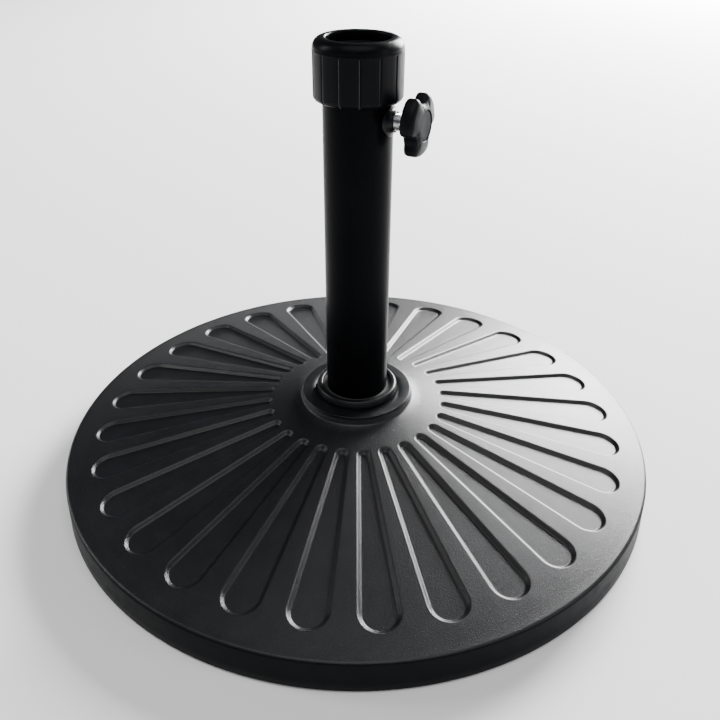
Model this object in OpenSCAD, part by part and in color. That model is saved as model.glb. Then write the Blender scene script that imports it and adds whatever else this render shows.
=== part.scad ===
// Round parasol base: a moulded disc with radial flutes over a concrete core, a steel stand tube,
// a screw-down fluted top cap and a three-lobed clamp knob.
// Origin at the middle of the underside of the feet, Z up, the clamp knob points along +X.

/* [Disc] */
// Diameter of the disc at its foot
disc_d = 500; // [410:1:620]
// Height of the outer wall above the floor
rim_h = 28; // [23:1:36]
// How far the outer wall leans in from foot to rim
wall_lean = 1; // [0.5:0.5:3]
// Radius of the edge between the wall and the top
edge_r = 3; // [1:0.5:5]
// Rise of the cone from the rim to the foot of the hub
cone_rise = 36; // [24:1:46]
// Thickness of the moulded shell under the flutes
shell_t = 3.5; // [2.5:0.5:5]
// Gap between the floor and the lower edge of the shell
floor_gap = 1.5; // [1:0.5:3]

/* [Flutes] */
// Number of flutes round the disc
flute_count = 28; // [18:1:34]
// Depth of each flute
flute_depth = 2.6; // [1.4:0.1:4]
// Width of a flute at its inner end
flute_in_w = 9; // [5:0.5:11]
// Width of a flute at its outer end
flute_out_w = 28; // [16:1:34]
// Plain band left between the flutes and the rim
flute_rim_band = 22; // [14:1:40]
// Plain band left between the flutes and the foot of the hub
flute_hub_band = 24.5; // [12:0.5:36]

/* [Hub] */
// Diameter of the hub at its top
hub_d = 92; // [78:1:114]
// Height of the hub above the cone
hub_h = 5.5; // [4:0.5:14]
// How much wider the hub is at its foot, all round
hub_flare = 3; // [1:0.5:6]
// Thickness of the smooth ring plate on the hub
hub_plate_t = 1.5; // [1:0.5:3]
// Width of the raised collar's wall
collar_w = 5.6; // [4:0.2:8]
// Height of the raised collar above the ring plate
collar_h = 6.2; // [5:0.2:12]
// Gap between the tube and the collar's bore
collar_gap = 3.6; // [3:0.1:6]

/* [Tube] */
// Overall height to the top of the cap
overall_h = 357; // [290:1:440]
// Outer diameter of the stand tube
tube_d = 50.8; // [42:0.1:62]
// Wall of the stand tube
tube_wall = 1.5; // [1.2:0.1:2.5]
// Height of the bottom end of the tube above the floor
tube_foot_z = 20; // [18:1:26]
// Wall of the steel socket cast into the concrete
socket_wall = 2; // [1.5:0.5:3]
// Radial gap between the tube and its socket
socket_gap = 0.4; // [0.2:0.1:0.8]

/* [Cap] */
// Wall of the cap round its ferrule
cap_wall = 4.3; // [3.5:0.1:6]
// Height of the cap
cap_h = 42; // [36:1:56]
// Radius of the cap's rounded top shoulder
cap_shoulder_r = 7; // [4:0.5:9]
// Radius of the cap's rounded lower edge
cap_lower_r = 4; // [2:0.5:4]
// Number of grip grooves round the cap
cap_groove_count = 14; // [8:1:20]
// Depth of a grip groove
cap_groove_depth = 0.9; // [0.5:0.1:1.5]
// Wall of the threaded ferrule fixed round the tube
ferrule_wall = 2; // [1.5:0.1:3]
// Thickness of the cap's top lip
cap_lip_t = 7; // [5:0.5:9]
// Wall of the sleeve that guides the pole
sleeve_wall = 1.2; // [1:0.1:3]

/* [Clamp knob] */
// Gap between the cap and the threaded bush below it
bush_drop = 1; // [0.5:0.5:20]
// Diameter of the stud over its thread
stud_d = 12; // [8:0.5:14.5]
// Diameter of the threaded bush where it meets the tube
bush_d = 22; // [18:0.5:26]
// How far the threaded bush stands out from the tube
bush_len = 4.4; // [2.2:0.2:8]
// Bare stud between the bush and the knob at rest
stud_gap = 6.2; // [5:0.1:9]
// Diameter of the knob over its lobes
knob_d = 44; // [36:0.5:60]
// Thickness of the knob from its back to the middle of its face
knob_t = 16; // [14:0.1:26]
// Radius of each finger notch
notch_r = 7; // [5:0.5:8.5]
// Rim left between the finger notches and the disc let into the knob's face
knob_disc_rim = 4.4; // [2:0.2:6]
// Diameter of the clamp pad
pad_d = 15; // [12.5:0.5:18]
// Thickness of the clamp pad
pad_t = 3; // [2.5:0.5:4]

/* [Underside] */
// Thickness of the bottom cover
cover_t = 2.5; // [2:0.5:4]
// Number of cover screws
screw_count = 8; // [4:1:12]
// Number of rubber feet
foot_count = 8; // [4:1:12]
// Diameter of a rubber foot
foot_d = 18; // [12:1:26]
// Diameter of the centre bolt
bolt_d = 12; // [8:0.4:14.4]

/* [Hidden] */
$fn = 96;

// Clearance between pieces that move past each other
run_gap = 0.3;
// Clearance between pieces that drop into each other
drop_gap = 0.2;

// --- disc ---
foot_r = disc_d / 2;
rim_r = foot_r - wall_lean;
cone_out_r = rim_r - edge_r;
hub_r = hub_d / 2;
hub_foot_r = hub_r + hub_flare;
hub_foot_z = rim_h + cone_rise;
hub_top_z = hub_foot_z + hub_h;
skin_t = shell_t + flute_depth;
wall_in_r = rim_r - shell_t;
function cone_z(r) = rim_h + cone_rise * (cone_out_r - r) / (cone_out_r - hub_foot_r);
function arc(cx, cz, r, a0, a1, n) = [for (i = [0:n]) [cx + r * cos(a0 + (a1 - a0) * i / n),
                                                       cz + r * sin(a0 + (a1 - a0) * i / n)]];

// --- flutes ---
// The tube is bolted down with the knob a little past a flute
flute_turn = 4.1;
flute_in_c = hub_foot_r + flute_hub_band + flute_in_w / 2;
flute_out_c = rim_r - flute_rim_band - flute_out_w / 2;

// --- tube, socket and hub bore ---
tube_r = tube_d / 2;
tube_in_r = tube_r - tube_wall;
socket_in_r = tube_r + socket_gap;
socket_r = socket_in_r + socket_wall;
collar_in_r = tube_r + collar_gap;
collar_r = collar_in_r + collar_w;
skirt_r = collar_in_r + drop_gap;
skirt_in_r = socket_r + drop_gap;
bore_r = skirt_r + drop_gap;
bore_wall = 3;
plate_z = hub_top_z;
collar_z = plate_z + hub_plate_t;
collar_top_z = collar_z + collar_h;
skirt_foot_z = collar_z - 12;
bore_foot_z = skirt_foot_z - 2;
seal_ledge_z = collar_z + 1;
seal_t = 3;

// --- underside ---
cover_z = floor_gap + 1;
cover_top_z = cover_z + cover_t;
cover_r = wall_in_r - drop_gap;
socket_floor_t = 4;
socket_foot_z = tube_foot_z - socket_floor_t;
recess_r = socket_r - 2;
washer_t = 4;
washer_r = recess_r - 2;
bolt_r = bolt_d / 2;
lock_t = 2.4;
head_t = 0.62 * bolt_d;
head_af = 1.6 * bolt_d;
washer_z = socket_foot_z - washer_t;
lock_z = washer_z - lock_t;
head_z = lock_z - head_t;
bolt_hole_r = bolt_r + 0.5;
plug_t = 6;
plug_top_z = tube_foot_z + plug_t;
nut_t = 0.85 * bolt_d;
nut_top_z = plug_top_z + nut_t;
bolt_top_z = nut_top_z + 5;
seat_top_z = bolt_top_z + 6;
screw_circle_r = wall_in_r - 30;
foot_circle_r = wall_in_r - 55;
post_r = 5;
screw_r = 2;
screw_head_r = 4;
screw_len = 17;
foot_stem_r = 4;

// --- cap ---
cap_top_z = overall_h;
cap_foot_z = cap_top_z - cap_h;
ferrule_r = tube_r + ferrule_wall;
cap_in_r = ferrule_r + run_gap;
cap_r = cap_in_r + cap_wall;
lip_z = cap_top_z - cap_lip_t;
sleeve_r = tube_in_r - run_gap;
pole_r = sleeve_r - sleeve_wall;
lip_r = pole_r + 0.2;
flange_t = 2.4;
flange_z = lip_z - run_gap - flange_t;
tube_top_z = flange_z - run_gap;
ferrule_top_z = tube_top_z - 2;
sleeve_foot_z = cap_foot_z + 3;
sleeve_flange_r = ferrule_r - 0.4;
lower_lip_r = 1.6;
// Direction of one grip groove when the cap is screwed home
groove_turn = -62.4;
groove_cut_r = 1.4;

// --- clamp knob, along +X ---
stud_r = stud_d / 2;
bush_r = bush_d / 2;
knob_z = cap_foot_z - bush_drop - bush_r;
bush_face_x = tube_r + bush_len;
bush_tip_r = stud_r + 1.4;
bush_edge = 0.8;
knob_back_x = bush_face_x + stud_gap;
knob_face_x = knob_back_x + knob_t;
knob_r = knob_d / 2;
notch_c = knob_r;
disc_r = notch_c - notch_r - knob_disc_rim;
knob_neck_r = stud_r + 3;
knob_neck_len = 4;
lobe_back_x = knob_back_x + knob_neck_len;
knob_dish = 1.2;
disc_t = 1.6;
disc_recess = 0.5;
insert_r = stud_r + 2;
insert_x = knob_back_x + 2;
insert_end_x = knob_face_x - disc_recess - disc_t - 1.2;
stud_end_x = insert_end_x - 0.6;
pad_r = pad_d / 2;
// The pad's back clears the curved inner wall of the tube
pad_back_x = sqrt(pow(tube_in_r, 2) - pow(pad_r, 2)) - 0.2;
pad_face_x = pad_back_x - pad_t;
tip_r = stud_r - 2;
tip_x = pad_back_x - 1.6;
shoulder_x = pad_back_x + 0.05;

module ring(r_out, r_in, z, h) {
    translate([0, 0, z]) difference() {
        cylinder(r = r_out, h = h);
        translate([0, 0, -1]) cylinder(r = r_in, h = h + 2);
    }
}

// Turns a piece drawn along Z so that it lies along +X on the knob's axis
module along_knob() { translate([0, 0, knob_z]) rotate([0, 90, 0]) children(); }

module round_copies(n, r, a0 = 0) {
    for (i = [0:n - 1]) rotate([0, 0, a0 + 360 * i / n]) translate([r, 0, 0]) children();
}

// --- disc ---

// Tapering flute with round ends, seen from above, lying along +X
module flute_outline() {
    ri = flute_in_w / 2;
    ro = flute_out_w / 2;
    lean = asin((ro - ri) / (flute_out_c - flute_in_c));
    polygon(concat(arc(flute_out_c, 0, ro, -90 - lean, 90 + lean, 14),
                   arc(flute_in_c, 0, ri, 90 + lean, 270 - lean, 7)));
}

module shell_blank() {
    rotate_extrude() polygon(concat(
        [[wall_in_r, floor_gap], [foot_r, floor_gap]],
        arc(rim_r - edge_r, rim_h - edge_r, edge_r, 0, 90, 6),
        [[hub_foot_r, hub_foot_z], [hub_r, hub_top_z], [bore_r, hub_top_z], [bore_r, bore_foot_z],
         [bore_r + bore_wall, bore_foot_z], [bore_r + bore_wall, hub_top_z - shell_t],
         [hub_r - shell_t, hub_top_z - shell_t], [hub_foot_r - shell_t, cone_z(hub_foot_r) - skin_t],
         [wall_in_r, cone_z(wall_in_r) - skin_t]]));
}

module above_flute_floor() {
    rotate_extrude() polygon([[hub_foot_r + 2, cone_z(hub_foot_r + 2) - flute_depth],
        [hub_foot_r + 2, hub_top_z + 20], [cone_out_r, hub_top_z + 20],
        [cone_out_r, cone_z(cone_out_r) - flute_depth]]);
}

module base_shell() {
    color("#1b1c1e") {
        difference() {
            shell_blank();
            intersection() {
                above_flute_floor();
                for (i = [0:flute_count - 1]) rotate([0, 0, flute_turn + 360 * i / flute_count])
                    linear_extrude(hub_top_z + 10) flute_outline();
            }
        }
        round_copies(screw_count, screw_circle_r) shell_post();
    }
}

module shell_post() {
    top_z = cone_z(screw_circle_r + post_r) - skin_t + 1;
    difference() {
        translate([0, 0, cover_top_z]) cylinder(r = post_r, h = top_z - cover_top_z);
        translate([0, 0, cover_top_z - 1]) cylinder(r = screw_r, h = screw_len - cover_t + 1.5);
    }
}

module concrete_core() {
    color("#9b9a94") difference() {
        rotate_extrude() polygon([[recess_r, cover_top_z], [wall_in_r, cover_top_z],
            [wall_in_r, cone_z(wall_in_r) - skin_t], [hub_foot_r - shell_t, cone_z(hub_foot_r) - skin_t],
            [hub_r - shell_t, hub_top_z - shell_t], [bore_r + bore_wall, hub_top_z - shell_t],
            [bore_r + bore_wall, bore_foot_z], [socket_r, bore_foot_z], [socket_r, socket_foot_z],
            [recess_r, socket_foot_z]]);
        round_copies(screw_count, screw_circle_r) translate([0, 0, cover_top_z - 1])
            cylinder(r = post_r, h = hub_top_z);
    }
}

module bottom_cover() {
    color("#232427") difference() {
        ring(cover_r, recess_r, cover_z, cover_t);
        round_copies(screw_count, screw_circle_r) screw_shape(0);
        round_copies(foot_count, foot_circle_r, 180 / foot_count)
            translate([0, 0, cover_z - 1]) cylinder(r = foot_stem_r, h = cover_t + 2);
    }
}

// Countersunk screw standing upright with its head flush in the cover
module screw_shape(slot) {
    difference() {
        rotate_extrude($fn = 32) polygon([[0, cover_z], [screw_head_r, cover_z],
            [screw_r, cover_z + screw_head_r - screw_r], [screw_r, cover_z + screw_len - 2],
            [0, cover_z + screw_len]]);
        if (slot > 0) for (a = [0, 90]) rotate([0, 0, a])
            translate([-slot, -0.5, cover_z - 1]) cube([2 * slot, 1, 2]);
    }
}

module cover_screws() {
    color("#8d9196") round_copies(screw_count, screw_circle_r) screw_shape(screw_head_r * 0.6);
}

module rubber_feet() {
    color("#161616") round_copies(foot_count, foot_circle_r, 180 / foot_count)
        rotate_extrude($fn = 48) polygon([[0, 0], [foot_d / 2 - 1, 0], [foot_d / 2, 1],
            [foot_d / 2, cover_z], [foot_stem_r, cover_z], [foot_stem_r, cover_top_z], [0, cover_top_z]]);
}

// --- hub ---

module hub_ring_plate() {
    color("#202124") rotate_extrude() polygon([[bore_r, plate_z], [hub_r, plate_z],
        [hub_r + 0.4, plate_z + 0.4], [hub_r + 0.4, collar_z - 0.5], [hub_r - 0.1, collar_z],
        [bore_r, collar_z]]);
}

module hub_collar() {
    top_round = collar_w * 0.55;
    color("#222326") rotate_extrude() polygon(concat(
        [[skirt_in_r, skirt_foot_z], [skirt_r, skirt_foot_z], [skirt_r, collar_z], [collar_r, collar_z]],
        arc(collar_r - top_round, collar_top_z - top_round, top_round, 12, 90, 5),
        [[collar_in_r + 0.6, collar_top_z], [collar_in_r, collar_top_z - 0.6],
         [collar_in_r, seal_ledge_z], [skirt_in_r, seal_ledge_z]]));
}

module collar_seal() {
    color("#101010") ring(collar_in_r, tube_r, seal_ledge_z, seal_t);
}

module socket_cup() {
    color("#7d8187") difference() {
        translate([0, 0, socket_foot_z]) cylinder(r = socket_r, h = hub_top_z - socket_foot_z);
        translate([0, 0, tube_foot_z]) cylinder(r = socket_in_r, h = hub_top_z);
        translate([0, 0, socket_foot_z - 1]) cylinder(r = bolt_hole_r, h = socket_floor_t + 2);
    }
}

// --- tube and what holds it down ---

module stand_tube() {
    color("#17181a") difference() {
        ring(tube_r, tube_in_r, tube_foot_z, tube_top_z - tube_foot_z);
        along_knob() cylinder(r = stud_r + 0.5, h = tube_r + 5);
    }
}

module tube_end_plug() {
    color("#6f7378") ring(tube_in_r, bolt_hole_r, tube_foot_z, plug_t);
}

module weld_nut() {
    color("#8d9196") translate([0, 0, plug_top_z]) difference() {
        cylinder(d = 1.6 * bolt_d / cos(30), h = nut_t, $fn = 6);
        translate([0, 0, -1]) cylinder(r = bolt_r, h = nut_t + 2, $fn = 48);
    }
}

module centre_bolt() {
    color("#a2a6ab") {
        translate([0, 0, head_z]) cylinder(d = head_af / cos(30), h = head_t, $fn = 6);
        translate([0, 0, lock_z - 1]) cylinder(r = bolt_r, h = bolt_top_z - lock_z, $fn = 48);
        translate([0, 0, bolt_top_z - 1]) cylinder(r1 = bolt_r, r2 = bolt_r - 1, h = 1, $fn = 48);
    }
}

module plate_washer() {
    color("#9da1a6") ring(washer_r, bolt_hole_r, washer_z, washer_t);
}

module spring_washer() {
    color("#8a8e93") difference() {
        ring(head_af / 2, bolt_r + 0.2, lock_z, lock_t);
        translate([bolt_r - 1, -0.6, lock_z - 1]) rotate([25, 0, 0]) cube([head_af / 2, 1.2, lock_t + 3]);
    }
}

// Plastic cup that the foot of the pole stands in, over the nut and the end of the bolt
module pole_seat() {
    color("#2b2c2f") difference() {
        translate([0, 0, plug_top_z]) cylinder(r = tube_in_r - drop_gap, h = seat_top_z - plug_top_z);
        translate([0, 0, plug_top_z - 1]) cylinder(r = head_af / 2 + 3, h = bolt_top_z + 2 - plug_top_z + 1);
    }
}

// --- cap ---

// Threaded sleeve fixed round the top of the tube, which the cap screws down on
module cap_ferrule() {
    color("#1e1f22") rotate_extrude() polygon([[tube_r, cap_foot_z + 0.3], [ferrule_r - 1, cap_foot_z + 0.3],
        [ferrule_r, cap_foot_z + 1.3], [ferrule_r, ferrule_top_z - 1], [ferrule_r - 1, ferrule_top_z],
        [tube_r, ferrule_top_z]]);
}

// Plastic sleeve that guides the pole; its flange is held under the cap's lip
module pole_sleeve() {
    color("#26272a") rotate_extrude() polygon([[pole_r, sleeve_foot_z], [sleeve_r - 0.4, sleeve_foot_z],
        [sleeve_r, sleeve_foot_z + 0.8], [sleeve_r, flange_z], [sleeve_flange_r, flange_z],
        [sleeve_flange_r, flange_z + flange_t], [pole_r, flange_z + flange_t]]);
}

module top_cap() {
    groove_top_z = cap_top_z - cap_shoulder_r - 0.5;
    color("#1c1d20") difference() {
        rotate_extrude() polygon(concat(
            [[cap_in_r, cap_foot_z]],
            arc(cap_r - cap_lower_r, cap_foot_z + cap_lower_r, cap_lower_r, -80, 0, 6),
            arc(cap_r - cap_shoulder_r, cap_top_z - cap_shoulder_r, cap_shoulder_r, 0, 90, 9),
            arc(lip_r + lower_lip_r, cap_top_z - lower_lip_r, lower_lip_r, 100, 180, 4),
            [[lip_r, lip_z], [cap_in_r, lip_z]]));
        for (i = [0:cap_groove_count - 1]) rotate([0, 0, groove_turn + 360 * i / cap_groove_count])
            translate([cap_r + groove_cut_r - cap_groove_depth, 0, cap_foot_z - 1])
                cylinder(r = groove_cut_r, h = groove_top_z - cap_foot_z + 1, $fn = 24);
    }
}

// --- clamp knob ---

// Threaded bush welded on the tube, hollowed to sit on its curve
module threaded_bush() {
    color("#1b1c1e") difference() {
        along_knob() difference() {
            rotate_extrude($fn = 64) polygon([[stud_r + 0.05, 0], [bush_r, 0], [bush_r, tube_r + bush_edge],
                [bush_tip_r, bush_face_x], [stud_r + 0.05, bush_face_x]]);
        }
        translate([0, 0, knob_z - bush_d]) cylinder(r = tube_r, h = 2 * bush_d);
    }
}

module clamp_pad() {
    color("#2a2a2c") along_knob() difference() {
        translate([0, 0, pad_face_x]) cylinder(r = pad_r, h = pad_t, $fn = 48);
        translate([0, 0, tip_x]) cylinder(r = tip_r + 0.1, h = pad_t, $fn = 48);
    }
}

module clamp_stud() {
    color("#b9bcc0") along_knob() rotate_extrude($fn = 64) polygon([[0, tip_x + 0.1], [tip_r, tip_x + 0.1],
        [tip_r, shoulder_x], [stud_r - 0.8, shoulder_x], [stud_r, shoulder_x + 0.8], [stud_r, stud_end_x],
        [0, stud_end_x]]);
}

// Steel bush moulded into the knob, with two flats that keep it from turning
module knob_insert() {
    color("#a9a17d") along_knob() difference() {
        intersection() {
            translate([0, 0, insert_x]) cylinder(r = insert_r, h = insert_end_x - insert_x, $fn = 48);
            translate([-insert_r - 1, -insert_r + 0.8, insert_x - 1])
                cube([2 * insert_r + 2, 2 * insert_r - 1.6, insert_end_x - insert_x + 2]);
        }
        translate([0, 0, insert_x - 1]) cylinder(r = stud_r, h = stud_end_x - insert_x + 1, $fn = 64);
    }
}

module knob_body() {
    color("#1b1c1e") along_knob() difference() {
        rotate_extrude() polygon(concat(
            [[0, knob_back_x], [knob_neck_r, knob_back_x], [knob_neck_r + 1, lobe_back_x]],
            arc(knob_r - 3, lobe_back_x + 3, 3, -90, 0, 4),
            arc(knob_r - 5, knob_face_x - knob_dish - 5, 5, 0, 75, 6),
            [[disc_r + 2, knob_face_x - 0.2], [disc_r, knob_face_x], [0, knob_face_x]]));
        for (i = [0:2]) rotate([0, 0, 180 + 120 * i]) translate([notch_c, 0, knob_back_x - 1])
            cylinder(r = notch_r, h = knob_t + 2);
        translate([0, 0, knob_face_x - disc_recess - disc_t]) cylinder(r = disc_r, h = 5);
        translate([0, 0, knob_back_x - 1]) cylinder(r = stud_r, h = insert_x - knob_back_x + 1.5, $fn = 64);
        intersection() {
            translate([0, 0, insert_x]) cylinder(r = insert_r, h = insert_end_x - insert_x, $fn = 48);
            translate([-insert_r - 1, -insert_r + 0.8, insert_x - 1])
                cube([2 * insert_r + 2, 2 * insert_r - 1.6, insert_end_x - insert_x + 2]);
        }
    }
}

module knob_face_disc() {
    color("#2a2b2e") along_knob() translate([0, 0, knob_face_x - disc_recess - disc_t]) {
        cylinder(r = disc_r - 0.5, h = disc_t);
        cylinder(r = disc_r, h = disc_t - 0.6);
    }
}

base_shell();
concrete_core();
bottom_cover();
cover_screws();
rubber_feet();
hub_ring_plate();
hub_collar();
collar_seal();
socket_cup();
stand_tube();
tube_end_plug();
weld_nut();
centre_bolt();
plate_washer();
spring_washer();
pole_seat();
cap_ferrule();
pole_sleeve();
top_cap();
threaded_bush();
clamp_pad();
clamp_stud();
knob_insert();
knob_body();
knob_face_disc();
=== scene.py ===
# %% [markdown]
# # A parasol base, from the floor up
#
# This lesson dresses a finished frame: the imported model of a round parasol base. The frame gives
# every part's place and size, so nothing here is measured by eye. Each cell builds one piece or one
# finish, says what it is on the real base, and why it is made this way.

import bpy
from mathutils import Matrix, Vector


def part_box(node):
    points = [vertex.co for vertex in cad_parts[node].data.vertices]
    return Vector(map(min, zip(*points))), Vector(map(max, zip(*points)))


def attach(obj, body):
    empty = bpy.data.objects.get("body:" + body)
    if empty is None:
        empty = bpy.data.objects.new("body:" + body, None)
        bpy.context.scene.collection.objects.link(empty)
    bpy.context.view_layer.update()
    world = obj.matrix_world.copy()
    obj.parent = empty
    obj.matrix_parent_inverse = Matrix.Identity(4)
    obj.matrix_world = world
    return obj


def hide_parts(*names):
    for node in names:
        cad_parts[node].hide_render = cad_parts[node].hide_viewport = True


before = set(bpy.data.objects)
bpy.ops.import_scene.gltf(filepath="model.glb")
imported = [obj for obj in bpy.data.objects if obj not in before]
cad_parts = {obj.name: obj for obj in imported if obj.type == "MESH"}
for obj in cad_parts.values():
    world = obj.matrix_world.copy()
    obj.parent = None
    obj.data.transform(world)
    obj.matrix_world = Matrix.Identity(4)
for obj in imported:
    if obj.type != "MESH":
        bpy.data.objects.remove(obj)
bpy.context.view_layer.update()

from math import asin, cos, hypot, pi, radians, sin, sqrt

import bmesh
import bpy
from mathutils import Matrix, Vector

# %% [markdown]
# ## Camera
#
# Product pictures of a heavy base are taken from above, so that the disc shows its pattern. The
# camera stands to the left of the clamp knob and looks down at the tube's foot with a 40 mm lens.
# A camera can be turned by hand, but aiming it at a point keeps the aim exact when it is moved.

# %% Place the camera
CAMERA_AZIMUTH = radians(25.5)
CAMERA_DISTANCE = 0.5719
CAMERA_HEIGHT = 0.4631
AIM_HEIGHT = 0.0977
AIM_SIDE = 0.0026
CAMERA_ROLL = radians(0.4)


def aim_at(thing, target, roll=0.0):
    """Turns a camera or light so that its -Z axis points at the target."""
    away = thing.location - target
    turn = away.to_track_quat("Z", "Y").to_matrix() @ Matrix.Rotation(roll, 3, "Z")
    thing.rotation_euler = turn.to_euler()


toward = Vector((sin(CAMERA_AZIMUTH), -cos(CAMERA_AZIMUTH), 0))
sideways = Vector((cos(CAMERA_AZIMUTH), sin(CAMERA_AZIMUTH), 0))
camera_data = bpy.data.cameras.new("product_camera")
camera_data.lens = 40
camera_data.sensor_width = 36
camera = bpy.data.objects.new("product_camera", camera_data)
camera.location = toward * CAMERA_DISTANCE + Vector((0, 0, CAMERA_HEIGHT))
aim_at(camera, sideways * AIM_SIDE + Vector((0, 0, AIM_HEIGHT)), CAMERA_ROLL)
bpy.context.scene.collection.objects.link(camera)
bpy.context.scene.camera = camera
print("the camera is", round(camera.location.length, 3), "m from the middle of the feet")

# %% [markdown]
# ## Nodes for a finish
#
# Every finish below is a small network of nodes, so that its grain has a real size and shows no
# seam. Adding nodes by hand in the shader editor works as well. A short helper that adds a node,
# sets it and wires it up keeps each finish readable, and makes it the same every time.


# %% A helper that wires up nodes
class Finish:
    """One material, with its shader and a short way to add nodes that feed it."""

    def __init__(self, name, colour, roughness, **uniform):
        self.mat = bpy.data.materials.new(name)
        self.mat.use_nodes = True
        self.tree = self.mat.node_tree
        self.shader = self.tree.nodes["Principled BSDF"]
        self.where = self.tree.nodes.new("ShaderNodeTexCoord").outputs["Object"]
        self.shader.inputs["Base Color"].default_value = (*colour, 1)
        self.shader.inputs["Roughness"].default_value = roughness
        for socket, value in uniform.items():
            self.shader.inputs[socket.replace("_", " ")].default_value = value

    def node(self, kind, inputs=None, **settings):
        made = self.tree.nodes.new("ShaderNode" + kind)
        for key, value in settings.items():
            setattr(made, key, value)
        for key, value in (inputs or {}).items():
            if isinstance(value, bpy.types.NodeSocket):
                self.tree.links.new(value, made.inputs[key])
            else:
                made.inputs[key].default_value = value
        return made

    def stretched(self, x, y, z):
        """The piece's own coordinates, multiplied along each axis, so that a pattern gets longer."""
        return self.node("VectorMath", {0: self.where, 1: (x, y, z)}, operation="MULTIPLY").outputs[0]

    def noise(self, per_metre, detail=2.0, rough=0.5, at=None):
        found = {"Vector": at or self.where, "Scale": per_metre, "Detail": detail, "Roughness": rough}
        return self.node("TexNoise", found).outputs["Fac"]

    def cells(self, per_metre, feature="F1", at=None):
        made = self.node("TexVoronoi", {"Vector": at or self.where, "Scale": per_metre}, feature=feature)
        return made.outputs["Distance"]

    def spread(self, value, low, high, to_low, to_high):
        """Turns the range low..high of a value into to_low..to_high, and holds it there."""
        found = {"Value": value, "From Min": low, "From Max": high, "To Min": to_low, "To Max": to_high}
        return self.node("MapRange", found).outputs["Result"]

    def sum(self, a, b, share=1.0):
        return self.node("Math", {0: b, 1: share, 2: a}, operation="MULTIPLY_ADD").outputs[0]

    def times(self, a, b):
        return self.node("Math", {0: a, 1: b}, operation="MULTIPLY").outputs[0]

    def colours(self, value, *stops):
        """A colour for each value: stops are (position, (red, green, blue))."""
        ramp = self.node("ValToRGB", {"Fac": value})
        marks = ramp.color_ramp.elements
        while len(marks) < len(stops):
            marks.new(0.5)
        for mark, (place, colour) in zip(marks, stops):
            mark.position = place
            mark.color = (*colour, 1)
        self.tree.links.new(ramp.outputs["Color"], self.shader.inputs["Base Color"])

    def gloss(self, value):
        self.tree.links.new(value, self.shader.inputs["Roughness"])

    def relief(self, height, depth, strength=1.0):
        """Bends the light as if the surface rose by depth, in metres, where height is 1."""
        found = {"Height": height, "Distance": depth, "Strength": strength}
        bump = self.node("Bump", found)
        self.tree.links.new(bump.outputs["Normal"], self.shader.inputs["Normal"])


print("finishes are made with", Finish.__name__)

# %% [markdown]
# ## Floor and light
#
# The base stands on a plain white floor in a dim room. A soft light high above lights the floor
# evenly. A window behind the base on the right is low enough to glance off the disc: that makes the
# grain and the flutes' edges shine while the left half stays dark. A narrow strip on the right picks
# out the knob, and a weak fill on the left keeps the dark side readable. A bright sky would be
# simpler, but black plastic mirrors it everywhere and turns grey.

# %% Lay the floor
floor_grid = bmesh.new()
bmesh.ops.create_grid(floor_grid, x_segments=1, y_segments=1, size=14)
floor_mesh = bpy.data.meshes.new("studio_floor")
floor_grid.to_mesh(floor_mesh)
floor_grid.free()
studio_floor = bpy.data.objects.new("studio_floor", floor_mesh)
floor_mesh.materials.append(Finish("floor_paint", (0.9, 0.9, 0.9), 0.85).mat)
bpy.context.scene.collection.objects.link(studio_floor)
print("the floor is", round(studio_floor.dimensions.x, 1), "m wide")


# %% Hang the lights
def soft_light(name, azimuth, elevation, distance, size, power, target=(0, 0, 0.05)):
    data = bpy.data.lights.new(name, "AREA")
    data.shape = "RECTANGLE"
    data.size, data.size_y = size
    data.energy = power
    lamp = bpy.data.objects.new(name, data)
    a, e = radians(azimuth), radians(elevation)
    lamp.location = Vector(target) + distance * Vector((sin(a) * cos(e), -cos(a) * cos(e), sin(e)))
    aim_at(lamp, Vector(target))
    bpy.context.scene.collection.objects.link(lamp)
    return lamp


world = bpy.data.worlds.new("studio_air")
world.use_nodes = True
sky = world.node_tree.nodes["Background"].inputs
sky["Color"].default_value = (1, 1, 1, 1)
sky["Strength"].default_value = 0.08
bpy.context.scene.world = world
lamps = [soft_light("window_behind_right", 172, 19, 4.2, (2.1, 1.9), 960),
         soft_light("strip_on_the_right", 98, 24, 2.6, (0.35, 1.5), 9),
         soft_light("soft_fill_left", 285, 30, 3.0, (0.6, 1.6), 26)]

overhead_data = bpy.data.lights.new("overhead_panel", "SUN")
overhead_data.energy = 1.9
overhead_data.angle = radians(55)
overhead = bpy.data.objects.new("overhead_panel", overhead_data)
overhead.location = (0.45, -0.75, 3)
aim_at(overhead, Vector((0, 0, 0)))
bpy.context.scene.collection.objects.link(overhead)
lamps.append(overhead)
print("lights:", ", ".join(lamp.name for lamp in lamps))

# %% [markdown]
# ## Grained plastic of the disc
#
# The shell is moulded in a tool whose face was etched, so that the plastic has a fine pebbled
# grain that hides scratches. Sculpting millions of pebbles would be far too heavy. Voronoi cells of
# about 0.9 mm, broken up by noise, bend the light in the same way. A slow change in gloss stands for
# handling, and the middles of larger cells are specks of dust.

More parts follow.
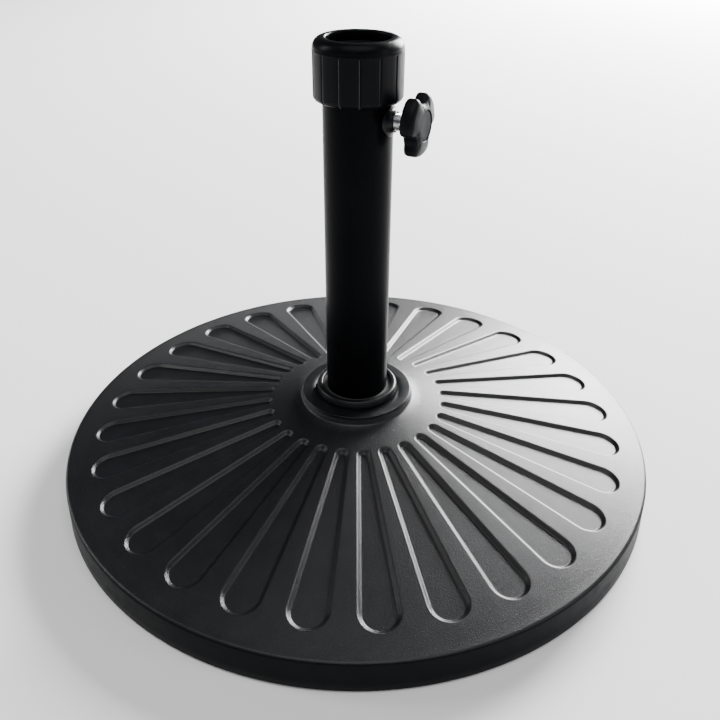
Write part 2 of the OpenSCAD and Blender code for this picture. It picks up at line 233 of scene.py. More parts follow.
# %% Grained plastic
GRAIN = 1150
grained = Finish("grained_plastic", (0.004, 0.0044, 0.0055), 0.4, Specular_IOR_Level=0.3)
pebbles = grained.cells(GRAIN)
broken = grained.noise(2500, 2, 0.6)
slow = grained.noise(9, 3)
dust = grained.spread(grained.cells(560), 0.06, 0.15, 1.0, 0.0)
shade = grained.times(grained.sum(grained.noise(60, 4), pebbles, 0.35), 0.5)
grained.colours(grained.sum(shade, dust, 0.5), (0.13, (0.003, 0.0033, 0.0042)),
                (0.3, (0.0042, 0.0046, 0.0057)), (0.5, (0.0068, 0.0073, 0.0088)),
                (1.0, (0.05, 0.052, 0.055)))
grained.gloss(grained.sum(grained.spread(slow, 0.3, 0.7, 0.26, 0.31), broken, 0.09))
grained.relief(grained.sum(pebbles, broken, 1.2), 0.0001, 0.9)
print("grain cells are about", round(1000 / GRAIN, 1), "mm across")

# %% [markdown]
# ## Smooth plastics
#
# The ring plate, the collar and the cap come from polished tools. Nothing moulded is perfectly even:
# it has a slight ripple where it shrank, and fine scuffs where hands have been. Two noises do that,
# a slow one for the ripple and a quicker one for the scuffs. A piece with painted highlights hands in
# a mask, which lifts those places to the pale grey at the top of the colour ramp.


# %% Smooth plastics
# A pale grey that is painted along the cap's grooves as a highlight.
PAINTED_HIGHLIGHT = (0.11, 0.115, 0.12)


def smooth_plastic(name, colour, roughness, scuff, mirror=0.22, streaks=None):
    made = Finish(name, colour, roughness, Specular_IOR_Level=mirror)
    ripple = made.noise(35, 2)
    scuffs = made.noise(140, 4, 0.6)
    fine = made.noise(2600, 2)
    pale = tuple(min(1, c * 1.5 + 0.0015) for c in colour)
    shade = made.sum(made.noise(25, 5), scuffs, 0.3)
    # A mask of painted highlight lines lifts those places to the pale grey.
    if streaks:
        shade = made.sum(made.times(shade, 0.5), streaks(made), 0.5)
        made.colours(shade, (0.23, colour), (0.5, pale), (0.95, PAINTED_HIGHLIGHT))
    else:
        made.colours(shade, (0.45, colour), (1.0, pale))
    made.gloss(made.sum(made.spread(scuffs, 0.45, 0.75, roughness - 0.04, roughness + scuff), fine, 0.05))
    made.relief(made.sum(ripple, fine, 0.05), 0.0003, 0.3)
    return made


ring_plastic = smooth_plastic("ring_plastic", (0.0035, 0.0039, 0.005), 0.32, 0.08)
knob_plastic = smooth_plastic("knob_plastic", (0.005, 0.0055, 0.0068), 0.36, 0.08, 0.06)
inlay_plastic = smooth_plastic("inlay_plastic", (0.008, 0.0088, 0.0104), 0.5, 0.08, 0.035)
hidden_plastic = smooth_plastic("hidden_plastic", (0.024, 0.025, 0.027), 0.5, 0.12)
wall_plastic = smooth_plastic("wall_plastic", (0.0035, 0.0039, 0.005), 0.42, 0.06, 0.045)
print("smooth plastics: ring, knob, inlay, wall and hidden")

# %% [markdown]
# ## Powder coat
#
# The steel tube is powder coated. Baked powder flows out into a skin with a soft orange peel, a few
# millimetres from crest to crest, so the noise is far coarser than the disc's grain. A faint speckle
# is the dust that settles in the oven. The bush is coated too, a little duller, and it is so small
# that the smooth plastics' finish is enough for it.

# %% Powder coat
powder_coat = Finish("powder_coat", (0.003, 0.0033, 0.0042), 0.3, Specular_IOR_Level=0.025)
PEEL = 420
peel = powder_coat.noise(PEEL, 2)
speckle = powder_coat.noise(1800, 2)
powder_coat.colours(powder_coat.sum(powder_coat.noise(14, 3), speckle, 0.25),
                    (0.4, (0.0014, 0.0016, 0.0022)), (0.9, (0.0032, 0.0036, 0.0046)))
powder_coat.gloss(powder_coat.spread(powder_coat.noise(22, 4), 0.3, 0.7, 0.26, 0.36))
powder_coat.relief(powder_coat.sum(peel, speckle, 0.2), 0.00012, 0.5)
bush_coat = smooth_plastic("bush_coat", (0.005, 0.0055, 0.0068), 0.4, 0.06, 0.2)
print("orange peel is about", round(1000 / PEEL, 1), "mm from crest to crest")

# %% [markdown]
# ## Steel
#
# The bolt, nut, washers, screws and stud are zinc plated: pale, a little blue and yellow in patches,
# with fine rubbing marks. The socket and the tube's end plug are bare rolled steel, darker and with
# brown mill scale. Both need the metallic slider at 1, because steel has no colour of its own
# under its reflections.

# %% Steel
zinc = Finish("zinc_plate", (0.62, 0.63, 0.64), 0.3, Metallic=1.0)
patches = zinc.noise(90, 4)
streaks = zinc.noise(900, 3, 0.6, zinc.stretched(1, 1, 5))
zinc.colours(patches, (0.3, (0.52, 0.55, 0.6)), (0.52, (0.66, 0.67, 0.68)), (0.75, (0.67, 0.64, 0.54)))
zinc.gloss(zinc.sum(zinc.spread(patches, 0.3, 0.7, 0.22, 0.34), streaks, 0.1))
zinc.relief(streaks, 0.00004, 0.5)

rolled = Finish("rolled_steel", (0.3, 0.3, 0.3), 0.5, Metallic=1.0)
scale_marks = rolled.noise(70, 6, 0.65)
drawn = rolled.noise(500, 3, 0.6, rolled.stretched(1, 1, 0.08))
rolled.colours(scale_marks, (0.35, (0.17, 0.155, 0.145)), (0.5, (0.36, 0.355, 0.35)),
               (0.7, (0.42, 0.42, 0.43)))
rolled.gloss(rolled.spread(scale_marks, 0.3, 0.65, 0.66, 0.38))
rolled.relief(rolled.sum(scale_marks, drawn, 0.4), 0.00012, 0.5)
print("steels:", zinc.mat.name, "and", rolled.mat.name)

# %% [markdown]
# ## Concrete and rubber
#
# The concrete was poured into the upturned shell. Sand shows as speckle and trapped air as small
# round pores, which are the near parts of large Voronoi cells. The rubber is matt, with the faint
# bloom that comes to its surface with age.

# %% Concrete and rubber
concrete = Finish("cast_concrete", (0.4, 0.39, 0.37), 0.9)
sand = concrete.noise(700, 5, 0.7)
pores = concrete.spread(concrete.cells(160), 0.1, 0.24, 0.0, 1.0)
concrete.colours(concrete.sum(concrete.noise(12, 5), sand, 0.4), (0.4, (0.27, 0.262, 0.25)),
                 (0.65, (0.41, 0.4, 0.38)), (0.95, (0.52, 0.51, 0.49)))
concrete.gloss(concrete.spread(sand, 0.3, 0.7, 0.8, 0.95))
concrete.relief(concrete.sum(sand, pores, 0.8), 0.0007, 0.8)

rubber = Finish("foot_rubber", (0.018, 0.018, 0.018), 0.78)
bloom = rubber.noise(45, 5)
rubber.colours(bloom, (0.35, (0.012, 0.012, 0.012)), (0.75, (0.034, 0.033, 0.032)))
rubber.gloss(rubber.spread(bloom, 0.3, 0.7, 0.7, 0.86))
rubber.relief(rubber.noise(1400, 3), 0.0001, 0.6)
print("fillings:", concrete.mat.name, "and", rubber.mat.name)

# %% [markdown]
# ## From points to a piece
#
# Most of this base was turned or moulded round an axis. Blender's Screw and Spin tools can sweep a
# profile, but a piece with flutes, grooves or a thread changes as it goes round. So each piece is
# written as rings of points: a ring is one turn round the axis, and the skin joins each ring to the
# next one. All sizes in these cells are in millimetres, and become metres when the mesh is made.


# %% Rings, skins and pieces
def make_piece(name, points, faces, finish, body, stands_for, slot):
    """One smooth mesh piece from points in millimetres, riding on its body for its CAD nodes."""
    mesh = bpy.data.meshes.new(name)
    mesh.from_pydata([(x / 1000, y / 1000, z / 1000) for x, y, z in points], [], faces)
    bm = bmesh.new()
    bm.from_mesh(mesh)
    bmesh.ops.remove_doubles(bm, verts=bm.verts, dist=2e-6)
    bmesh.ops.dissolve_degenerate(bm, edges=bm.edges, dist=1e-7)
    bmesh.ops.recalc_face_normals(bm, faces=bm.faces)
    bm.to_mesh(mesh)
    bm.free()
    mesh.shade_smooth()
    mesh.materials.append(finish.mat)
    piece = bpy.data.objects.new(name, mesh)
    bpy.context.scene.collection.objects.link(piece)
    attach(piece, body)
    if stands_for:
        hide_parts(*stands_for)
    print(name, "has", len(mesh.vertices), "points and", len(mesh.polygons), "faces")
    return piece


def skin(rings, closed_profile=False):
    """Points and faces that join each ring of points to the next."""
    count = len(rings[0])
    points = [point for ring in rings for point in ring]
    last = len(rings) if closed_profile else len(rings) - 1
    faces = []
    for i in range(last):
        a, b = i * count, ((i + 1) % len(rings)) * count
        for j in range(count):
            k = (j + 1) % count
            faces.append((a + j, a + k, b + k, b + j))
    return points, faces


def turned(profile, columns=144, closed_profile=True, start=0.0):
    """A profile of (radius, height) swept round the tube's axis."""
    turns = [2 * pi * j / columns + start for j in range(columns)]
    return skin([[(r * cos(t), r * sin(t), z) for t in turns] for r, z in profile], closed_profile)


def arc(x, z, r, start, end, steps):
    """Points of a round edge, from one angle in degrees to another."""
    angles = [radians(start + (end - start) * i / steps) for i in range(steps + 1)]
    return [(x + r * cos(a), z + r * sin(a)) for a in angles]


def along_profile(profile, longest):
    """The same profile with no stretch longer than that, so that it bends smoothly."""
    filled = [profile[0]]
    for start, end in zip(profile, profile[1:]):
        steps = max(1, int(hypot(end[0] - start[0], end[1] - start[1]) / longest + 0.999))
        for i in range(1, steps + 1):
            filled.append(tuple(a + (b - a) * i / steps for a, b in zip(start, end)))
    return filled


def eased(value, low, high):
    """0 below low, 1 above high, and a smooth climb between them."""
    t = min(1.0, max(0.0, (value - low) / (high - low)))
    return t * t * (3 - 2 * t)


def corners(node):
    """A CAD node's box in millimetres."""
    low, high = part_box(node)
    return [v * 1000 for v in low], [v * 1000 for v in high]


shell_low, shell_high = corners("base_shell")
print("the shell reaches", round(shell_high[0], 1), "mm out and", round(shell_high[2], 1), "mm up")

# %% [markdown]
# ## The fluted disc
#
# The disc is one moulding: a shallow cone with long flutes pressed into it, a rounded rim and a low
# hub. Cutting the flutes with a Boolean leaves hard edges that catch no light, and bevelling them
# all often fails. Here each flute is drawn as loops that follow its outline, so its soft top edge
# and the fillet at its floor are part of the mesh, and one sector is copied round the disc.

# %% The disc's main sizes
FLUTES = 28
FIRST_FLUTE = radians(4.1)
FOOT_R, RIM_R, RIM_TOP, RIM_ROUND, FOOT_Z = shell_high[0], shell_high[0] - 1, 28.0, 3.0, shell_low[2]
CONE_OUT, HUB_FOOT, HUB_FOOT_Z = RIM_R - RIM_ROUND, 49.0, 64.0
HUB_TOP = shell_high[2]
BORE_R = 29.4
FLUTE_IN, FLUTE_IN_R, FLUTE_OUT, FLUTE_OUT_R, FLUTE_DEPTH = 78.0, 4.5, 213.0, 14.0, 2.6
SECTOR = pi / FLUTES
print("each flute takes", round(360 / FLUTES, 2), "degrees")


def cone_height(r):
    return RIM_TOP + (HUB_FOOT_Z - RIM_TOP) * (CONE_OUT - r) / (CONE_OUT - HUB_FOOT)


# %% [markdown]
# The outline of a flute is two round ends joined by straight sides. A point on it is a centre on the
# flute's middle line, a radius and a direction, so moving the point out or in is only a change of
# radius. Each outline point also has a partner on the edge of its sector, where the loops end.

# %% One flute's outline
OUT_STEPS, SIDE_STEPS, IN_STEPS = 20, 22, 10
lean = radians(90) + asin((FLUTE_OUT_R - FLUTE_IN_R) / (FLUTE_OUT - FLUTE_IN))
outline = []


def edge_point(kind, t):
    """A point on the edge of the sector: its outer arc, a side or its inner arc."""
    if kind == "outer":
        r, a = CONE_OUT, SECTOR * t
    elif kind == "inner":
        r, a = HUB_FOOT, -SECTOR * t
    else:
        r, a = CONE_OUT + (HUB_FOOT - CONE_OUT) * t, SECTOR * (1 if kind == "left" else -1)
    return r * cos(a), r * sin(a)


OUT_SHARE, IN_SHARE = 0.7, 0.6
for i in range(OUT_STEPS + 1):
    a = -lean + 2 * lean * i / OUT_STEPS
    t = (2 * i / OUT_STEPS - 1) / OUT_SHARE
    far = edge_point("outer", t) if abs(t) <= 1 else edge_point(
        "left" if t > 0 else "right", (abs(t) - 1) * OUT_SHARE * 0.22)
    outline.append((FLUTE_OUT, FLUTE_OUT_R, cos(a), sin(a), far))
for i in range(1, SIDE_STEPS):
    t = i / SIDE_STEPS
    outline.append((FLUTE_OUT + (FLUTE_IN - FLUTE_OUT) * t, FLUTE_OUT_R + (FLUTE_IN_R - FLUTE_OUT_R) * t,
                    cos(lean), sin(lean), edge_point("left", 0.066 + 0.814 * t)))
for i in range(IN_STEPS + 1):
    a = lean + 2 * (pi - lean) * i / IN_STEPS
    t = (2 * i / IN_STEPS - 1) / IN_SHARE
    far = edge_point("inner", t) if abs(t) <= 1 else edge_point(
        "right" if t > 0 else "left", 1 - (abs(t) - 1) * IN_SHARE * 0.3)
    outline.append((FLUTE_IN, FLUTE_IN_R, cos(a), sin(a), far))
for i in range(1, SIDE_STEPS):
    t = 1 - i / SIDE_STEPS
    outline.append((FLUTE_OUT + (FLUTE_IN - FLUTE_OUT) * t, FLUTE_OUT_R + (FLUTE_IN_R - FLUTE_OUT_R) * t,
                    cos(lean), -sin(lean), edge_point("right", 0.066 + 0.814 * t)))
print("a flute's outline has", len(outline), "points")

# %% [markdown]
# Now the loops. The outer ones spread from the flute's edge to the edge of the sector and lie on the
# cone. The ones close to the outline drop along an eased curve, steepest halfway down the wall. The
# last ones shrink onto the flute's middle line and close its floor.

# %% Loops of one sector
WALL_OUT, WALL_IN = 1.7, -2.4
loops = []
for share in (1.0, 0.66, 0.36, 0.14):
    loop = []
    for cx, r, dx, dy, (ex, ey) in outline:
        x0, y0 = cx + (r + 2.1) * dx, (r + 2.1) * dy
        x, y = x0 + (ex - x0) * share, y0 + (ey - y0) * share
        loop.append((x, y, cone_height(hypot(x, y))))
    loops.append(loop)
for d in (2.1, 1.7, 1.35, 1.0, 0.65, 0.3, -0.05, -0.4, -0.75, -1.1, -1.45, -1.8, -2.1, -2.4, -3.0):
    drop = FLUTE_DEPTH * (1 - eased(d, WALL_IN, WALL_OUT))
    loop = []
    for cx, r, dx, dy, far in outline:
        x, y = cx + (r + d) * dx, (r + d) * dy
        loop.append((x, y, cone_height(hypot(x, y)) - drop))
    loops.append(loop)
for share in (0.5, 0.0):
    loop = []
    for cx, r, dx, dy, far in outline:
        x, y = cx + (r - 3.0) * dx * share, (r - 3.0) * dy * share
        loop.append((x, y, cone_height(hypot(x, y)) - FLUTE_DEPTH))
    loops.append(loop)
sector_points, sector_faces = skin(loops)
print("one sector has", len(sector_faces), "faces")

# %% [markdown]
# The rim and the hub are turned. They use as many columns as the sectors' own arcs, so that their
# points fall on the sectors' points and weld to them. The hub rises from the cone in a soft hollow
# curve, because a sharp inside corner would tear when the moulding is pulled from its tool. The
# upright wall of the rim has no etched grain, so its faces get a smooth plastic of their own.

# %% Weld the disc together
disc_points, disc_faces = [], []


def add_to_disc(points, faces):
    shift = len(disc_points)
    disc_points.extend(points)
    disc_faces.extend(tuple(shift + v for v in face) for face in faces)


for n in range(FLUTES):
    c, s = cos(FIRST_FLUTE + 2 * pi * n / FLUTES), sin(FIRST_FLUTE + 2 * pi * n / FLUTES)
    add_to_disc([(x * c - y * s, x * s + y * c, z) for x, y, z in sector_points], sector_faces)
out_columns = round(OUT_STEPS * OUT_SHARE) * FLUTES
in_columns = round(IN_STEPS * IN_SHARE) * FLUTES
rim = [(CONE_OUT, RIM_TOP)] + arc(CONE_OUT, RIM_TOP - RIM_ROUND, RIM_ROUND, 79, 0, 8)
rim += [(RIM_R + 0.25, 18), (RIM_R + 0.6, 9), (FOOT_R, FOOT_Z + 0.8), (FOOT_R - 0.5, FOOT_Z),
        (RIM_R - 3, FOOT_Z), (RIM_R - 3.5, FOOT_Z + 0.5), (RIM_R - 3.5, 18)]
hub = [(HUB_FOOT, HUB_FOOT_Z), (48.2, 64.45), (47.4, 65.3), (46.9, 66.4), (46.5, 67.6), (46.0, 68.8),
       (45.4, HUB_TOP), (BORE_R + 0.4, HUB_TOP), (BORE_R, HUB_TOP - 0.4), (BORE_R, 60.0),
       (BORE_R + 2.5, 60.0)]
add_to_disc(*turned(rim, out_columns, False, FIRST_FLUTE - SECTOR))
add_to_disc(*turned(hub, in_columns, False, FIRST_FLUTE - SECTOR))
disc_shell = make_piece("fluted_disc", disc_points, disc_faces, grained, "base", ["base_shell"],
                        "moulded_resin")
disc_shell.data.materials.append(wall_plastic.mat)
for face in disc_shell.data.polygons:
    if hypot(face.center.x, face.center.y) * 1000 > RIM_R - 0.6 and face.center.z * 1000 < RIM_TOP - 1.2:
        face.material_index = 1

# %% [markdown]
# ## Ring plate and collar
#
# A thin ring covers the gap between the hub and the concrete, and a collar dropped into it centres
# the tube. Both are turned shapes, so a profile swept round the axis is enough. Their small
# rounded edges matter most: each catches a thin bright line.

# %% Ring plate
PLATE_Z = HUB_TOP
PLATE_R = corners("hub_ring_plate")[1][0]
COLLAR_Z = corners("hub_ring_plate")[1][2]
plate = [(BORE_R, PLATE_Z), (PLATE_R - 0.5, PLATE_Z), (PLATE_R - 0.1, PLATE_Z + 0.15),
         (PLATE_R, PLATE_Z + 0.5)]
plate += arc(PLATE_R - 0.7, COLLAR_Z - 0.7, 0.7, 0, 90, 5) + [(40, COLLAR_Z), (BORE_R, COLLAR_Z)]
make_piece("ring_plate", *turned(plate), ring_plastic, "base", ["hub_ring_plate"], "smooth_plastic")

# %% Collar
COLLAR_LOW, COLLAR_HIGH = corners("hub_collar")
COLLAR_R, COLLAR_TOP, COLLAR_IN, SKIRT_R = COLLAR_HIGH[0], COLLAR_HIGH[2], 29.0, 29.2
SKIRT_IN = 28.0
collar = [(SKIRT_IN, COLLAR_LOW[2]), (SKIRT_R, COLLAR_LOW[2]), (SKIRT_R, COLLAR_Z)]
collar += [(COLLAR_R - 0.4, COLLAR_Z), (COLLAR_R, COLLAR_Z + 0.4), (COLLAR_R - 0.05, COLLAR_Z + 1.0)]
collar += [(COLLAR_R - 0.9, COLLAR_TOP - 2.2)]
collar += arc(COLLAR_R - 2.6, COLLAR_TOP - 1.9, 1.9, 28, 86, 7)
collar += [(COLLAR_IN + 0.9, COLLAR_TOP), (COLLAR_IN + 0.3, COLLAR_TOP - 0.25)]
collar += [(COLLAR_IN, COLLAR_TOP - 0.8), (COLLAR_IN, COLLAR_Z + 1), (SKIRT_IN, COLLAR_Z + 1)]
make_piece("tube_collar", *turned(collar), ring_plastic, "base", ["hub_collar"], "smooth_plastic")

# %% [markdown]
# ## The grooved cap
#
# The cap is a plastic nut that screws down over the tube's top. Its fourteen grip grooves are narrow
# and run out under the round shoulder. A groove is only a dent in the turned shape, so the radius
# is a formula of angle and height: the columns crowd together where a groove is. A pale line is
# painted along each groove as a highlight, where light glances off its edge, and the same angle and
# height make the mask for it.

# %% Grooved cap
CAP_LOW, CAP_HIGH = corners("top_cap")
CAP_R, CAP_FOOT, CAP_TOP = 32.0, CAP_LOW[2], CAP_HIGH[2]
SHOULDER, GROOVES, GROOVE_DEPTH, GROOVE_TURN = 7.0, 14, 0.9, radians(-62.4)
CAP_IN, LIP_R, LIP_Z = 27.7, 22.6, CAP_TOP - 7
GROOVE_TOP, PANEL_STEP = CAP_TOP - SHOULDER - 1.4, 0.25
FOOT_ROUND = 4.0
cap_profile = [(CAP_IN, CAP_FOOT + 0.4), (CAP_IN + 0.4, CAP_FOOT)]
cap_profile += arc(CAP_R - FOOT_ROUND, CAP_FOOT + FOOT_ROUND, FOOT_ROUND, -84, 0, 9)
cap_profile += along_profile([(CAP_R, CAP_FOOT + 4.6), (CAP_R, GROOVE_TOP - 3)], 4.5)
cap_profile += along_profile([(CAP_R, GROOVE_TOP - 2.4), (CAP_R, GROOVE_TOP + 0.2)], 0.35)
cap_profile += [(CAP_R - 0.06, GROOVE_TOP + 0.6), (CAP_R - PANEL_STEP + 0.06, GROOVE_TOP + 1.1)]
cap_profile += arc(CAP_R - PANEL_STEP - SHOULDER, CAP_TOP - SHOULDER, SHOULDER, 1, 90, 14)
cap_profile += arc(LIP_R + 1.6, CAP_TOP - 1.6, 1.6, 96, 180, 7)
cap_profile += [(LIP_R, LIP_Z + 0.3), (LIP_R + 0.3, LIP_Z), (CAP_IN - 0.3, LIP_Z), (CAP_IN, LIP_Z - 0.3)]
cap_profile += along_profile([(CAP_IN, LIP_Z - 2), (CAP_IN, CAP_FOOT + 2)], 6)


def painted_groove_highlights(made):
    """1 along each groove, where a pale highlight is painted, and 0 on the panels."""
    parts = made.node("SeparateXYZ", {"Vector": made.where}).outputs
    turn = made.node("Math", {0: parts["Y"], 1: parts["X"]}, operation="ARCTAN2").outputs[0]
    count = made.node("Math", {0: turn, 1: GROOVES / (2 * pi), 2: 0.5 - GROOVE_TURN * GROOVES / (2 * pi)},
                      operation="MULTIPLY_ADD").outputs[0]
    place = made.node("Math", {0: count}, operation="FRACT").outputs[0]
    line = made.spread(place, 0.445, 0.465, 0.0, 1.0)
    line_end = made.spread(place, 0.485, 0.505, 1.0, 0.0)
    below = made.spread(parts["Z"], (GROOVE_TOP - 1.2) / 1000, (GROOVE_TOP - 0.2) / 1000, 1.0, 0.0)
    return made.times(made.times(line, line_end), below)


# The cap's colour gets the painted highlight lines along its grooves.
cap_plastic = smooth_plastic("cap_plastic", (0.003, 0.0033, 0.0043), 0.3, 0.06, 0.055, painted_groove_highlights)
half = pi * CAP_R / GROOVES
steps_across = [0, 0.3, 0.55, 0.8, 1.05, 1.4, 2.2, 3.6, 5.4]
across = sorted({-s for s in steps_across} | set(steps_across) | {half})
cap_rings = []
for r, z in cap_profile:
    ring = []
    outside = r > CAP_IN + 0.5 and z < GROOVE_TOP + 0.5
    for n in range(GROOVES):
        for s in across:
            groove = 1 - eased(abs(s), 0.15, 1.05)
            run_out = 1 - eased(z, GROOVE_TOP - 1.4, GROOVE_TOP + 0.1)
            crown = 0.18 * (s / half) ** 2 * run_out
            cut = (GROOVE_DEPTH * groove * run_out + crown) if outside else 0.0
            t = GROOVE_TURN + (n * 2 * half + s) / CAP_R
            ring.append(((r - cut) * cos(t), (r - cut) * sin(t), z))
    cap_rings.append(ring)
make_piece("grooved_cap", *skin(cap_rings, True), cap_plastic, "cap", ["top_cap"], "satin_plastic")

# %% [markdown]
# ## Threads
#
# A thread is a ridge that climbs as it goes round. A spiral curve with a swept profile leaves loose
# edges at both ends. Here the ridge is again a formula: how far a point has climbed, divided by the
# pitch, says where it is between crest and root. The ends fade out, as a cut thread does.


# %% A threaded rod or ferrule
def threaded(crest, root, start, end, pitch, inner, columns, per_pitch, fade, lift):
    """Rings of a threaded outside over a plain inside; lift turns (radius, angle, along) into a point."""
    rows = int((end - start) / pitch * per_pitch)
    turns = [2 * pi * j / columns for j in range(columns)]
    rings = [[lift(inner, t, start) for t in turns]]
    for i in range(rows + 1):
        along = start + (end - start) * i / rows
        ends = min(eased(along, start, start + fade), 1 - eased(along, end - fade, end))
        ring = []
        for t in turns:
            phase = ((along / pitch - t / (2 * pi)) % 1.0) * 2 - 1
            ridge = 1 - eased(abs(phase), 0.25, 0.85)
            ring.append(lift(root + (crest - root) * ridge * ends, t, along))
        rings.append(ring)
    rings.append([lift(inner, t, end) for t in turns])
    return rings


def up_tube(r, t, along):
    return r * cos(t), r * sin(t), along


TUBE_R, CAP_PITCH = 25.4, 4.0
FERRULE_LOW, FERRULE_HIGH = corners("cap_ferrule")
ferrule_rings = threaded(FERRULE_HIGH[0], FERRULE_HIGH[0] - 1.1, FERRULE_LOW[2], FERRULE_HIGH[2],
                         CAP_PITCH, TUBE_R, 96, 12, 2.0, up_tube)
make_piece("threaded_ferrule", *skin(ferrule_rings, True), hidden_plastic, "base", ["cap_ferrule"],
           "cover_plastic")

# %% [markdown]
# ## Stud and bush of the clamp
#
# The clamp's stud is a threaded rod along the X axis. It is built like the ferrule and laid on its
# side by the function that places its points. The bush it runs in is welded to the tube, so its
# back follows the tube's round wall, and a bead of weld makes it flare.

# %% Threaded stud
KNOB_LOW, KNOB_HIGH = corners("knob_body")
KNOB_Z = 303.0
STUD_LOW, STUD_HIGH = corners("clamp_stud")
STUD_R, STUD_TIP_R, STUD_END, STUD_PITCH = STUD_HIGH[1], 4.0, 46.0, 1.75


def along_knob(r, t, along):
    """Seen from outside, the angle t starts at the right and runs towards the top."""
    return along, r * cos(t), KNOB_Z + r * sin(t)


stud_rings = [[along_knob(0.0, 2 * pi * j / 40, STUD_LOW[0]) for j in range(40)],
              [along_knob(3.5, 2 * pi * j / 40, STUD_LOW[0]) for j in range(40)],
              [along_knob(STUD_TIP_R, 2 * pi * j / 40, STUD_LOW[0] + 0.5) for j in range(40)],
              [along_knob(STUD_TIP_R, 2 * pi * j / 40, STUD_LOW[0] + 1.6) for j in range(40)]]
stud_rings += threaded(STUD_R, STUD_R - 0.85, STUD_LOW[0] + 1.7, STUD_END, STUD_PITCH, STUD_TIP_R,
                       40, 10, 1.2, along_knob)[1:]
stud_rings.append([along_knob(0.0, 2 * pi * j / 40, STUD_END) for j in range(40)])
make_piece("threaded_stud", *skin(stud_rings), zinc, "knob", ["clamp_stud"], "zinc_steel")

# %% Welded bush
BUSH_ROOT = 22.9
bush_rows = [(6.1, 0.0, 1), (10.4, 0.0, 1), (10.95, 0.35, 1), (10.95, 0.9, 1), (10.6, 1.5, 0.85),
             (9.9, 2.1, 0.65), (9.1, 2.8, 0.45), (8.4, 3.6, 0.25), (7.85, 4.5, 0.1), (7.5, 5.4, 0),
             (7.4, 6.2, 0), (7.35, 6.6, 0)]
BUSH_FACE = corners("threaded_bush")[1][0]
bush_rings = []
for r, rise, follow in bush_rows:
    ring = []
    for j in range(96):
        t = 2 * pi * j / 96
        wall = sqrt(TUBE_R ** 2 - (r * cos(t)) ** 2)
        bead = 0.06 * sin(34 * t) - 0.06 if 0.3 < rise < 2.5 else 0.0
        along = follow * (wall + rise) + (1 - follow) * (BUSH_ROOT + rise)
        ring.append(along_knob(r + bead, t, min(along, BUSH_FACE)))
    bush_rings.append(ring)
for r, along in ((7.1, BUSH_FACE - 0.1), (6.9, BUSH_FACE), (6.2, BUSH_FACE), (6.06, BUSH_FACE - 0.3)):
    bush_rings.append([along_knob(r, 2 * pi * j / 96, along) for j in range(96)])
make_piece("welded_bush", *skin(bush_rings, True), bush_coat, "base", ["threaded_bush"],
           "black_powder_coat")

# %% [markdown]
# ## The three-lobed knob
#
# The knob is a round moulding with three finger notches, so that a wet hand can turn it. It could be
# cut with three cylinders, but then its edges have to be bevelled. Instead its outline is where a
# distance formula is zero: inside the round and outside the notches, blended so that each corner is
# soft. The same formula at other distances gives the smaller outlines of the rounded edges.


# %% The knob's outline
KNOB_R, NOTCH_R = 22.0, 7.0
NOTCHES = [radians(a) for a in (90, 210, 330)]


def knob_distance(r, t):
    """How far a point is outside the knob, in millimetres, with soft corners."""
    x, y = r * cos(t), r * sin(t)
    value = r - KNOB_R
    for a in NOTCHES:
        other = NOTCH_R - hypot(x - KNOB_R * cos(a), y - KNOB_R * sin(a))
        blend = 4.4
        h = max(0.0, blend - abs(value - other)) / blend
        value = max(value, other) + h * h * blend * 0.25
    return value


def knob_radius(t, inset):
    """Where a ray from the knob's axis leaves the outline that lies inset millimetres further in."""
    r = 8.0
    while knob_distance(r, t) < -inset and r < KNOB_R:
        r += 0.1
    low, high = r - 0.1, r
    for _ in range(10):
        middle = (low + high) / 2
        low, high = (middle, high) if knob_distance(middle, t) < -inset else (low, middle)
    return (low + high) / 2


fine = [2 * pi * i / 1440 for i in range(1440)]
traced = [(knob_radius(t, 0.0) * cos(t), knob_radius(t, 0.0) * sin(t)) for t in fine]
run = [0.0]
for (x0, y0), (x1, y1) in zip(traced, traced[1:] + traced[:1]):
    run.append(run[-1] + hypot(x1 - x0, y1 - y0))
KNOB_COLUMNS = 168
rays, at = [], 0
for j in range(KNOB_COLUMNS):
    while run[at + 1] < run[-1] * j / KNOB_COLUMNS:
        at += 1
    rays.append(fine[at % 1440])
print("the knob's outline is", round(run[-1]), "mm long")

# %% [markdown]
# With the outline known, the knob is a stack of rings from its back to its face: a round neck, the
# back of the lobes, the rounded outer edge, and a face that rises gently to the rim of the disc let
# into it. Between the neck and the lobes a ring is a mix of a circle and the outline.

# %% The knob
KNOB_BACK, KNOB_FACE = KNOB_LOW[0], KNOB_HIGH[0]
LOBE_BACK, NECK_R, INLAY_R = KNOB_BACK + 4.0, 9.0, 10.6
LOBE_FRONT, ROUND = KNOB_FACE - 1.2, 4.4


def softened(t, inset):
    """The edge is rounded less inside a finger notch than on a lobe."""
    return inset * (0.6 + 0.4 * eased(knob_radius(t, 0.0), 15.2, 21.8))


soft_share = {t: softened(t, 1.0) for t in rays}


def lobe_ring(inset, along):
    return [along_knob(knob_radius(t, inset * soft_share[t]), t, along) for t in rays]


def mixed_ring(circle, share, inset, along):
    """A ring between a circle (share 0) and the outline (share 1)."""
    ring = []
    for t in rays:
        outward = (knob_radius(t, inset * soft_share[t]) - circle) * share if share else 0.0
        ring.append(along_knob(circle + outward, t, along))
    return ring


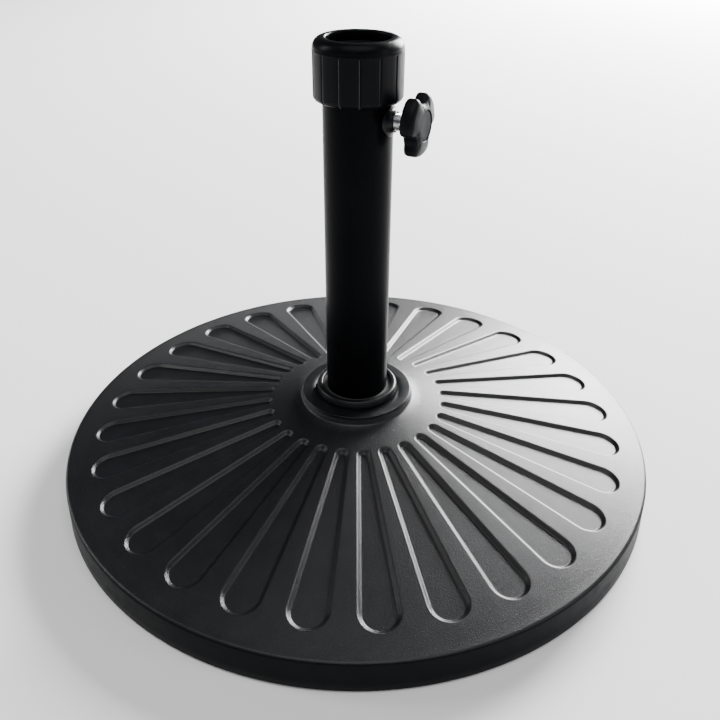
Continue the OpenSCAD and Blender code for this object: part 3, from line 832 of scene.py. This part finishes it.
knob_rings = [mixed_ring(STUD_R, 0, 0, KNOB_BACK + 2.2), mixed_ring(STUD_R, 0, 0, KNOB_BACK + 0.3),
              mixed_ring(STUD_R + 0.3, 0, 0, KNOB_BACK), mixed_ring(NECK_R - 0.6, 0, 0, KNOB_BACK),
              mixed_ring(NECK_R, 0, 0, KNOB_BACK + 0.6), mixed_ring(NECK_R + 0.2, 0, 0, KNOB_BACK + 2.0),
              mixed_ring(NECK_R + 0.6, 0, 0, KNOB_BACK + 3.3),
              mixed_ring(NECK_R + 1.2, 0.06, 3.4, LOBE_BACK - 0.2),
              mixed_ring(NECK_R + 2, 0.5, 3.0, LOBE_BACK)]
for inset, along in arc(3.0, LOBE_BACK + 3.0, 3.0, 270, 180, 6):
    knob_rings.append(lobe_ring(inset, along))
for share in (0.3, 0.6):
    knob_rings.append(lobe_ring(0, LOBE_BACK + 3 + (LOBE_FRONT - ROUND - LOBE_BACK - 3) * share))
for i in range(9):
    a = radians(180 - 82 * i / 8)
    knob_rings.append(lobe_ring(ROUND * (1 + cos(a)) * 0.86, LOBE_FRONT - ROUND + ROUND * sin(a)))
edge_x, edge_inset = LOBE_FRONT - ROUND + ROUND * sin(radians(98)), ROUND * (1 + cos(radians(98))) * 0.86
for share in (0.75, 0.5, 0.25, 0.08):
    rise = (KNOB_FACE - 0.1 - edge_x) * (1 - share ** 1.5)
    knob_rings.append(mixed_ring(INLAY_R + 0.5, share, edge_inset, edge_x + rise))
INLAY_SEAT = KNOB_FACE - 2.1
for r, along in ((INLAY_R + 0.45, KNOB_FACE), (INLAY_R + 0.15, KNOB_FACE - 0.1), (INLAY_R, KNOB_FACE - 0.45),
                 (INLAY_R, INLAY_SEAT), (0.0, INLAY_SEAT)):
    knob_rings.append(mixed_ring(r, 0, 0, along))
make_piece("lobed_knob", *skin(knob_rings), knob_plastic, "knob", ["knob_body"], "knob_plastic")

# %% [markdown]
# The disc let into the face hides the end of the stud. It sits half a millimetre below the rim, and
# its own edge is rounded, so a thin dark ring shows round it.

# %% The knob's inlay
INLAY_X = corners("knob_face_disc")[1][0]
inlay_rings = [[along_knob(r, 2 * pi * j / 96, x) for j in range(96)] for r, x in (
    (0.0, INLAY_X - 1.55), (INLAY_R - 0.1, INLAY_X - 1.55), (INLAY_R - 0.1, INLAY_X - 0.7),
    (INLAY_R - 0.35, INLAY_X - 0.2), (INLAY_R - 0.8, INLAY_X), (INLAY_R * 0.75, INLAY_X - 0.03),
    (INLAY_R * 0.4, INLAY_X - 0.08), (0.0, INLAY_X - 0.1))]
make_piece("knob_inlay", *skin(inlay_rings), inlay_plastic, "knob", ["knob_face_disc"], "disc_plastic")

# %% [markdown]
# ## The nodes that stay as they are
#
# The tube, the socket, the bolt and its washers, the feet, the screws and the concrete already have
# their real shape in the frame, so they keep it and only get a finish. A loop over a short list is
# clearer than setting each one by hand, and a count at the end says how many there are.

# %% Finish the carried-over nodes
kept = {"stand_tube": powder_coat, "concrete_core": concrete, "bottom_cover": hidden_plastic,
        "cover_screws": zinc, "rubber_feet": rubber, "collar_seal": rubber, "socket_cup": rolled,
        "tube_end_plug": rolled, "weld_nut": zinc, "centre_bolt": zinc, "plate_washer": zinc,
        "spring_washer": zinc, "pole_seat": hidden_plastic, "pole_sleeve": hidden_plastic,
        "clamp_pad": rubber, "knob_insert": zinc}
for node, finish in kept.items():
    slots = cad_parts[node].data.materials
    slots.clear()
    slots.append(finish.mat)
print(len(kept), "nodes keep their shape, and the others are replaced")
